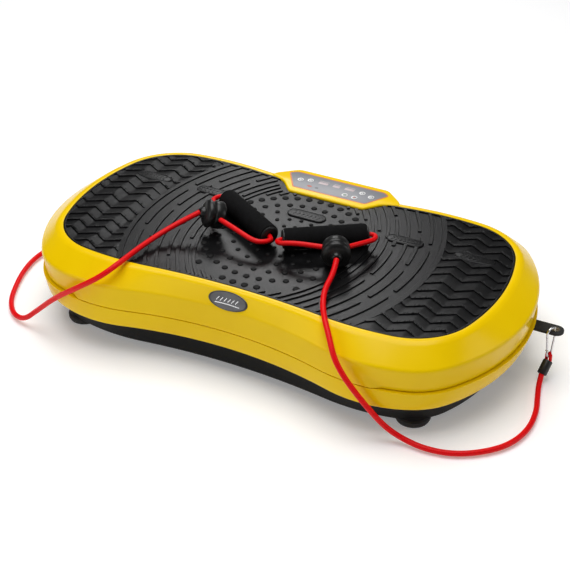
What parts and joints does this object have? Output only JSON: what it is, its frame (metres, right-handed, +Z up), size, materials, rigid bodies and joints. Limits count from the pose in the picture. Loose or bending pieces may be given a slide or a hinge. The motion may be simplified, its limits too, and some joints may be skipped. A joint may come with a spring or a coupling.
{
  "type": "vibration plate",
  "caption": "Low rocking exercise platform with a waisted moulded shell, textured anti-slip mat, key panel and stretch cords with foam grips clipped to its ends.",
  "frame": {"origin": "on the floor under the middle of the body", "axes": "+X along the long side to the right anchor, +Y to the control panel, +Z up"},
  "size_m": [0.7536, 0.3742, 0.167],
  "materials": {
    "eyelet_metal": "polished",
    "tab_webbing": "woven",
    "mat_rubber": "matte textured",
    "badge_face": "satin",
    "base_plastic": "fine texture",
    "deck_steel": "matte",
    "screw_steel": "zinc plated",
    "cast_metal": "as cast",
    "sleeve_rubber": "satin",
    "bearing_steel": "ground",
    "shaft_steel": "ground",
    "board_green": "solder mask",
    "window_clear": "clear",
    "belt_rubber": "matte",
    "board_parts": "satin",
    "foot_rubber": "matte",
    "pin_brass": "bright",
    "clip_metal": "polished",
    "connector_plastic": "satin",
    "cord_red": "braided",
    "grip_plastic": "satin",
    "grip_foam": "foam",
    "shell_yellow": "gloss",
    "motor_steel": "zinc plated",
    "magnet": "sintered",
    "rotor_steel": "laminated",
    "overlay_film": "printed film",
    "key_plastic": "satin",
    "rocker_plastic": "gloss"
  },
  "bodies": {
    "base": {"base_pan": "base_plastic", "base_plate": "deck_steel", "base_screws": "screw_steel", "bearing_blocks": "cast_metal", "crank_bearings": "bearing_steel", "drive_belt": "belt_rubber", "driver_board": "board_green", "driver_board_parts": "board_parts", "end_bumpers": "foot_rubber", "inlet_pins": "pin_brass", "motor_housing": "motor_steel", "motor_magnets": "magnet", "motor_saddles": "cast_metal", "pivot_bushes": "pin_brass", "power_inlet": "base_plastic", "rubber_feet": "foot_rubber", "switch_frame": "base_plastic"},
    "platform": {"anchor_eyelets": "eyelet_metal", "anchor_tabs": "tab_webbing", "anti_slip_mat": "mat_rubber", "badge": "badge_face", "cord_sleeves": "sleeve_rubber", "crank_yoke": "deck_steel", "deck_plate": "deck_steel", "deck_rails": "deck_steel", "display_board": "board_green", "display_windows": "window_clear", "left_carabiner": "clip_metal", "left_connector": "connector_plastic", "left_cord": "cord_red", "left_handle_loop": "cord_red", "lower_shell": "shell_yellow", "panel_overlay": "overlay_film", "pivot_lugs": "deck_steel", "pivot_shaft": "shaft_steel", "right_carabiner": "clip_metal", "right_connector": "connector_plastic", "right_cord": "cord_red", "right_handle_loop": "cord_red", "top_cover": "shell_yellow"},
    "crank": {"crank_shaft": "shaft_steel", "driven_pulley": "cast_metal", "eccentric_bearing": "bearing_steel"},
    "rotor": {"motor_rotor": "rotor_steel", "motor_pulley": "cast_metal"},
    "switch": {"switch_rocker": "rocker_plastic"},
    "key_1": {"panel_key_1": "key_plastic"},
    "key_2": {"panel_key_2": "key_plastic"},
    "key_3": {"panel_key_3": "key_plastic"},
    "key_4": {"panel_key_4": "key_plastic"},
    "key_5": {"panel_key_5": "key_plastic"},
    "key_6": {"panel_key_6": "key_plastic"},
    "left_clip_gate": {"left_gate": "clip_metal"},
    "right_clip_gate": {"right_gate": "clip_metal"},
    "left_grip": {"left_grip_core": "grip_plastic", "left_grip_foam": "grip_foam"},
    "right_grip": {"right_grip_core": "grip_plastic", "right_grip_foam": "grip_foam"}
  },
  "joints": [
    {"name": "platform_rock", "type": "hinge", "parent": "base", "child": "platform", "pos_m": [0, 0, 0.062], "axis": [0, 1, 0], "range_deg": [-1.5, 1.5]},
    {"name": "crank_spin", "type": "hinge", "parent": "base", "child": "crank", "pos_m": [0.15, 0, 0.054], "axis": [0, 1, 0], "continuous": true},
    {"name": "rotor_spin", "type": "hinge", "parent": "base", "child": "rotor", "pos_m": [0.232, 0, 0.054], "axis": [0, 1, 0], "continuous": true},
    {"name": "switch_rock", "type": "hinge", "parent": "base", "child": "switch", "pos_m": [0.026, 0.157, 0.027], "axis": [0, 0, -1], "range_deg": [0, 16]},
    {"name": "key_1_press", "type": "slide", "parent": "platform", "child": "key_1", "axis": [0, 0, -1], "range_m": [0, 0.0005], "stiffness_N_per_m": 400, "springref_m": -0.0005},
    {"name": "key_2_press", "type": "slide", "parent": "platform", "child": "key_2", "axis": [0, 0, -1], "range_m": [0, 0.0005], "stiffness_N_per_m": 400, "springref_m": -0.0005},
    {"name": "key_3_press", "type": "slide", "parent": "platform", "child": "key_3", "axis": [0, 0, -1], "range_m": [0, 0.0005], "stiffness_N_per_m": 400, "springref_m": -0.0005},
    {"name": "key_4_press", "type": "slide", "parent": "platform", "child": "key_4", "axis": [0, 0, -1], "range_m": [0, 0.0005], "stiffness_N_per_m": 400, "springref_m": -0.0005},
    {"name": "key_5_press", "type": "slide", "parent": "platform", "child": "key_5", "axis": [0, 0, -1], "range_m": [0, 0.0005], "stiffness_N_per_m": 400, "springref_m": -0.0005},
    {"name": "key_6_press", "type": "slide", "parent": "platform", "child": "key_6", "axis": [0, 0, -1], "range_m": [0, 0.0005], "stiffness_N_per_m": 400, "springref_m": -0.0005},
    {"name": "left_gate_open", "type": "hinge", "parent": "platform", "child": "left_clip_gate", "pos_m": [-0.34923, 0.03034, 0.04006], "axis": [-0.8779, -0.4789, 0], "range_deg": [0, 18], "stiffness_Nm_per_rad": 0.01, "springref_deg": -17.19},
    {"name": "right_gate_open", "type": "hinge", "parent": "platform", "child": "right_clip_gate", "pos_m": [0.34923, 0.03034, 0.04006], "axis": [-0.8779, 0.4789, 0], "range_deg": [0, 18], "stiffness_Nm_per_rad": 0.01, "springref_deg": -17.19},
    {"name": "left_grip_spin", "type": "hinge", "parent": "platform", "child": "left_grip", "pos_m": [-0.05415, 0.00045, 0.1396], "axis": [0.8479, -0.5302, 0], "continuous": true},
    {"name": "right_grip_spin", "type": "hinge", "parent": "platform", "child": "right_grip", "pos_m": [0.0568, 0.00115, 0.1396], "axis": [0.8269, 0.5624, 0], "continuous": true}
  ],
  "couplings": [
    {"joint": "rotor_spin", "follows": "crank_spin", "ratio": 3}
  ]
}
